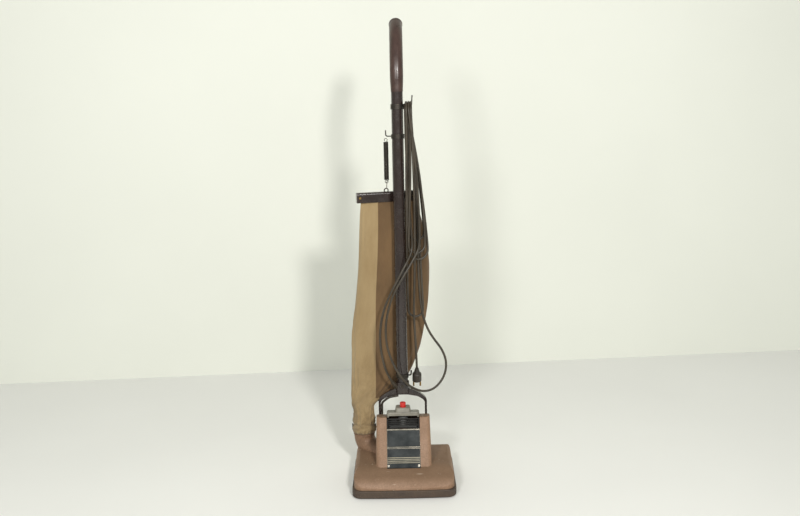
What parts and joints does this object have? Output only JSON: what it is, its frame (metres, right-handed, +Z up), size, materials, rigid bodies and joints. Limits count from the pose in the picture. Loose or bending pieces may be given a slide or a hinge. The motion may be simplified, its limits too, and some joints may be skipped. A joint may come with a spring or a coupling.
{
  "type": "upright vacuum cleaner",
  "caption": "Small vintage upright vacuum cleaner: low nozzle hood with a motor tower, forked bail and tube handle, side dust bag on a coil spring, and a mains cord in a loose hank.",
  "frame": {"origin": "on the floor under the nozzle's centre line, in the middle of the machine's width and depth without its cord", "axes": "+Z up, +X to the right seen from the nozzle's front, the nozzle's front faces -Y"},
  "size_m": [0.2879, 0.3755, 1.2604],
  "materials": {
    "brown_enamel": "semi-gloss mottled enamel, chipped",
    "elbow_enamel": "worn enamel",
    "bumper_rubber": "aged matte rubber",
    "panel_enamel": "satin",
    "chrome": "bright, slightly dulled",
    "cream_enamel": "satin",
    "black_enamel": "satin",
    "steel": "plain",
    "grey_plastic": "moulded",
    "red_plastic": "moulded",
    "black_plastic": "moulded",
    "cast_aluminium": "as cast",
    "zinc_steel": "zinc plated",
    "lamination": "stacked sheet",
    "copper": "enamelled wire",
    "carbon": "pressed carbon",
    "belt_rubber": "matte",
    "roll_wood": "turned",
    "bristle": "stiff hair",
    "tan_cloth": "twill",
    "brown_cloth": "twill",
    "dark_steel": "blackened",
    "bronze": "sintered",
    "dark_enamel": "gloss enamel",
    "brass": "dull",
    "cord_rubber": "aged rubber",
    "plug_rubber": "moulded rubber",
    "wheel_rubber": "matte"
  },
  "bodies": {
    "base": {"bearing_bridge": "cast_aluminium", "bumper": "bumper_rubber", "button_spring": "steel", "carbon_brushes": "carbon", "chassis": "cast_aluminium", "drive_belt": "belt_rubber", "exhaust_elbow": "elbow_enamel", "fan_cover": "cast_aluminium", "field_coils": "copper", "front_panel": "panel_enamel", "hood": "brown_enamel", "motor_bearings": "steel", "motor_cap": "grey_plastic", "neck_clamp": "dark_steel", "neck_sleeve": "tan_cloth", "panel_ribs": "cream_enamel", "panel_screws": "steel", "panel_trim": "chrome", "pivot_bracket": "dark_steel", "pivot_bushes": "bronze", "roll_bearings": "black_plastic", "sole_plate": "zinc_steel", "sole_screws": "steel", "stator_core": "lamination", "switch_body": "black_plastic", "vent_louvres": "black_enamel", "wheel_axles": "steel"},
    "handle": {"fork": "dark_enamel", "pivot_pins": "dark_steel", "handle_tube": "dark_enamel", "grip_cap": "black_plastic", "handle_bolts": "dark_steel", "upper_cord_hook": "dark_steel", "lower_cord_hook": "dark_steel", "spring_bracket": "dark_steel", "lead_cable": "cord_rubber", "bag_spring": "dark_steel", "spring_ring": "steel", "bag_bar": "dark_enamel", "bar_rivets": "brass", "dust_bag": "brown_cloth", "cord_gland": "cord_rubber", "cord_riser": "cord_rubber", "cord_hank": "cord_rubber", "cord_loop": "cord_rubber", "cord_drop": "cord_rubber", "plug_body": "plug_rubber", "plug_pins": "brass"},
    "motor": {"armature": "lamination", "motor_shaft": "steel", "commutator": "copper", "impeller": "cast_aluminium", "drive_pulley": "steel"},
    "brush": {"brush_roll": "roll_wood", "bristle_rows": "bristle"},
    "switch": {"switch_button": "red_plastic"},
    "front_wheel_left_body": {"front_wheel_left": "wheel_rubber"},
    "rear_wheel_left_body": {"rear_wheel_left": "wheel_rubber"},
    "front_wheel_right_body": {"front_wheel_right": "wheel_rubber"},
    "rear_wheel_right_body": {"rear_wheel_right": "wheel_rubber"}
  },
  "joints": [
    {"name": "handle_tilt", "type": "hinge", "parent": "base", "child": "handle", "pos_m": [0, 0.027, 0.14], "axis": [-1, 0, 0], "range_deg": [0, 75]},
    {"name": "motor_spin", "type": "hinge", "parent": "base", "child": "motor", "pos_m": [0, -0.033, 0.1], "axis": [0, 0, 1], "continuous": true},
    {"name": "brush_roll_spin", "type": "hinge", "parent": "base", "child": "brush", "pos_m": [0, -0.144, 0.0245], "axis": [1, 0, 0], "continuous": true},
    {"name": "front_left_roll", "type": "hinge", "parent": "base", "child": "front_wheel_left_body", "pos_m": [-0.1, -0.1, 0.01], "axis": [1, 0, 0], "continuous": true},
    {"name": "front_right_roll", "type": "hinge", "parent": "base", "child": "front_wheel_right_body", "pos_m": [0.1, -0.1, 0.01], "axis": [1, 0, 0], "continuous": true},
    {"name": "rear_left_roll", "type": "hinge", "parent": "base", "child": "rear_wheel_left_body", "pos_m": [-0.052, 0.05, 0.022], "axis": [1, 0, 0], "continuous": true},
    {"name": "rear_right_roll", "type": "hinge", "parent": "base", "child": "rear_wheel_right_body", "pos_m": [0.052, 0.05, 0.022], "axis": [1, 0, 0], "continuous": true},
    {"name": "switch_press", "type": "slide", "parent": "base", "child": "switch", "axis": [0, 0, -1], "range_m": [0, 0.004], "stiffness_N_per_m": 400, "springref_m": -0.002, "deforming": ["button_spring"]}
  ],
  "couplings": [
    {"joint": "brush_roll_spin", "follows": "motor_spin", "ratio": 0.69863}
  ]
}
